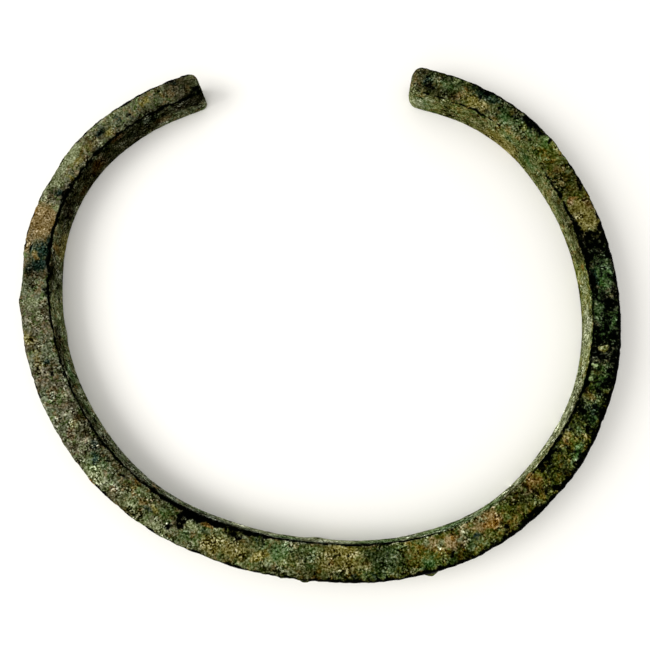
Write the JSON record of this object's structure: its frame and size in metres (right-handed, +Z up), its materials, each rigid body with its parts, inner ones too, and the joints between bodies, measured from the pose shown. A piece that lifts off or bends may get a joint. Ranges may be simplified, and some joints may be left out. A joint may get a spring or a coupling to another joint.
{
  "type": "open bangle",
  "caption": "Ancient open bangle: a flat-sided bronze bar bent to an oval, thickest at the back and thinning to plain blunt ends, with a crusty green and brown patina.",
  "frame": {"origin": "on the surface that the bangle lies on, under the middle of its box", "axes": "+Z up through the lying bangle, +X across the oval, +Y from its thick back towards its open mouth"},
  "size_m": [0.0664, 0.057, 0.0044],
  "materials": {
    "patinated_bronze": "corroded bronze under a pitted, speckled crust of olive, green, ochre and near-black patina"
  },
  "bodies": {
    "root": {"bangle": "patinated_bronze"}
  },
  "joints": []
}
